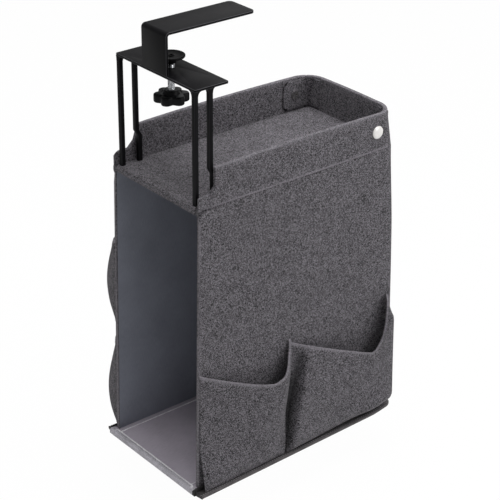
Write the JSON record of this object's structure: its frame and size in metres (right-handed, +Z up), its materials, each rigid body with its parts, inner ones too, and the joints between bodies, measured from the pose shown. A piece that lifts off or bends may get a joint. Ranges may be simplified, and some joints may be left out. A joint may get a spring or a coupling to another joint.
{
  "type": "hanging storage box",
  "caption": "Tall narrow cloth box that hangs under a table top by a steel screw clamp, with an open tray above an open-fronted bay and bellied pockets on both side walls.",
  "frame": {"origin": "on the underside of the clamp's arm, straight above the screw", "axes": "+X across the box to its right side, +Y from the open front to the back, +Z up"},
  "size_m": [0.2156, 0.3277, 0.5576],
  "materials": {
    "black_steel": "black powder coat, satin",
    "zinc_steel": "bright zinc plate",
    "black_plastic": "moulded, matt",
    "melange_cloth": "dark grey melange polyester, plain weave",
    "smooth_lining": "smooth blue-grey lining",
    "pale_lining": "light grey lining",
    "dark_tape": "dark grey woven binding",
    "pale_tape": "light grey woven binding",
    "stiff_board": "plain grey-brown board",
    "snap_metal": "bright nickel plate"
  },
  "bodies": {
    "box_and_frame": {"clamp_arm": "black_steel", "hanger_plate": "black_steel", "screw_nut": "zinc_steel", "right_side_rail": "black_steel", "left_side_rail": "black_steel", "right_rear_leg": "black_steel", "left_rear_leg": "black_steel", "rear_cross_bar": "black_steel", "shelf_cover": "melange_cloth", "shelf_board": "stiff_board", "right_wall_cover": "melange_cloth", "left_wall_cover": "melange_cloth", "right_wall_board": "stiff_board", "left_wall_board": "stiff_board", "right_wall_lining": "smooth_lining", "left_wall_lining": "smooth_lining", "back_wall_cover": "melange_cloth", "back_wall_board": "stiff_board", "back_wall_lining": "melange_cloth", "right_corner_tab": "melange_cloth", "left_corner_tab": "melange_cloth", "right_snap_stud": "snap_metal", "left_snap_stud": "snap_metal", "base_lining": "pale_lining", "base_board": "stiff_board", "base_underside": "dark_tape", "base_front_binding": "pale_tape", "bottom_binding": "dark_tape", "right_front_pocket": "melange_cloth", "right_rear_pocket": "melange_cloth", "left_lower_pocket": "melange_cloth", "left_upper_pocket": "melange_cloth"},
    "clamp_pad": {"pressure_disc": "black_steel"},
    "screw_and_knob": {"clamp_screw": "zinc_steel", "star_knob": "black_plastic"},
    "right_flap": {"right_flap_cover": "melange_cloth", "right_flap_board": "stiff_board", "right_snap_cap": "snap_metal", "right_snap_socket": "snap_metal"},
    "left_flap": {"left_flap_cover": "melange_cloth", "left_flap_board": "stiff_board", "left_snap_cap": "snap_metal", "left_snap_socket": "snap_metal"}
  },
  "joints": [
    {"name": "pad_rise", "type": "slide", "parent": "box_and_frame", "child": "clamp_pad", "axis": [0, 0, 1], "range_m": [-0.0045, 0.0155]},
    {"name": "screw_turn", "type": "hinge", "parent": "clamp_pad", "child": "screw_and_knob", "pos_m": [0, 0, -0.038], "axis": [0, 0, 1], "range_deg": [-1296, 4464]},
    {"name": "right_flap_fold", "type": "hinge", "parent": "box_and_frame", "child": "right_flap", "pos_m": [0.0785, 0.1, -0.1872], "axis": [0, 1, 0], "range_deg": [0, 160]},
    {"name": "left_flap_fold", "type": "hinge", "parent": "box_and_frame", "child": "left_flap", "pos_m": [-0.0785, 0.1, -0.1872], "axis": [0, -1, 0], "range_deg": [0, 160]}
  ],
  "couplings": [
    {"joint": "screw_turn", "follows": "pad_rise", "rad_per_m": 5026.5}
  ]
}
